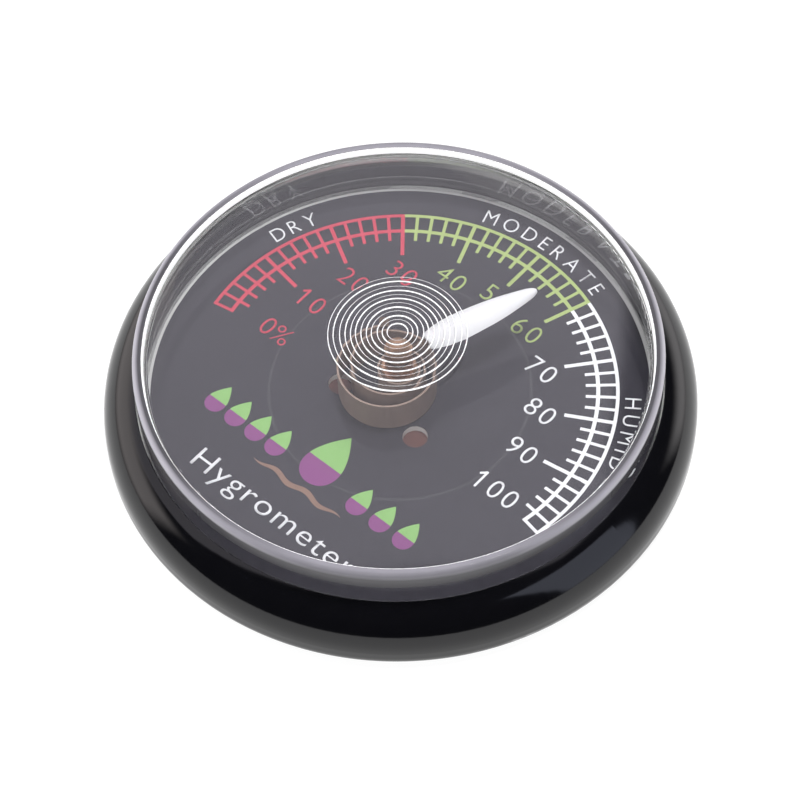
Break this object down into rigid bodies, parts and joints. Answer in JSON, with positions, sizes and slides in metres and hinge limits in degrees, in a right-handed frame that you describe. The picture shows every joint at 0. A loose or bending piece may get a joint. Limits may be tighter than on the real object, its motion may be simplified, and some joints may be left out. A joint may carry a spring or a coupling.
{
  "type": "dial hygrometer",
  "caption": "Round dial hygrometer: flared black housing, clear domed cover with target rings, coiled sensing strip and a white pointer on a coloured humidity scale.",
  "frame": {"origin": "centre of the flat rear face, on the pointer's axis", "axes": "+Z out of the dial towards the reader, +Y towards the middle of the scale, +X to the reader's right"},
  "size_m": [0.075, 0.075, 0.0174],
  "materials": {
    "housing_black": "high gloss",
    "rear_black": "fine spark texture",
    "screw_steel": "zinc plated",
    "dial_black": "gloss printed face on a white core",
    "filter_brown": "porous",
    "brass": "turned",
    "spring_bronze": "rolled, darkened",
    "strip_beige": "matt coated strip",
    "cover_clear": "clear moulded",
    "arbor_steel": "ground",
    "washer_nylon": "natural nylon",
    "hub_copper": "copper plated",
    "pointer_white": "satin moulded"
  },
  "bodies": {
    "housing": {"base_housing": "housing_black", "rear_plate": "rear_black", "rear_screws": "screw_steel", "dial_plate": "dial_black", "filter_disc": "filter_brown", "dial_bush": "brass", "rear_bearing": "brass", "anchor_post": "spring_bronze", "anchor_clip": "spring_bronze", "sensing_coil": "strip_beige", "clear_cover": "cover_clear"},
    "pointer_assembly": {"arbor": "arbor_steel", "thrust_washer": "washer_nylon", "hub": "hub_copper", "pointer": "pointer_white", "pointer_arm": "spring_bronze", "pointer_cap": "hub_copper"}
  },
  "joints": [
    {"name": "pointer_turn", "type": "hinge", "parent": "housing", "child": "pointer_assembly", "pos_m": [0, 0, 0.0072], "axis": [0, 0, 1], "range_deg": [-81.61, 120.39], "stiffness_Nm_per_rad": 0.00002}
  ]
}
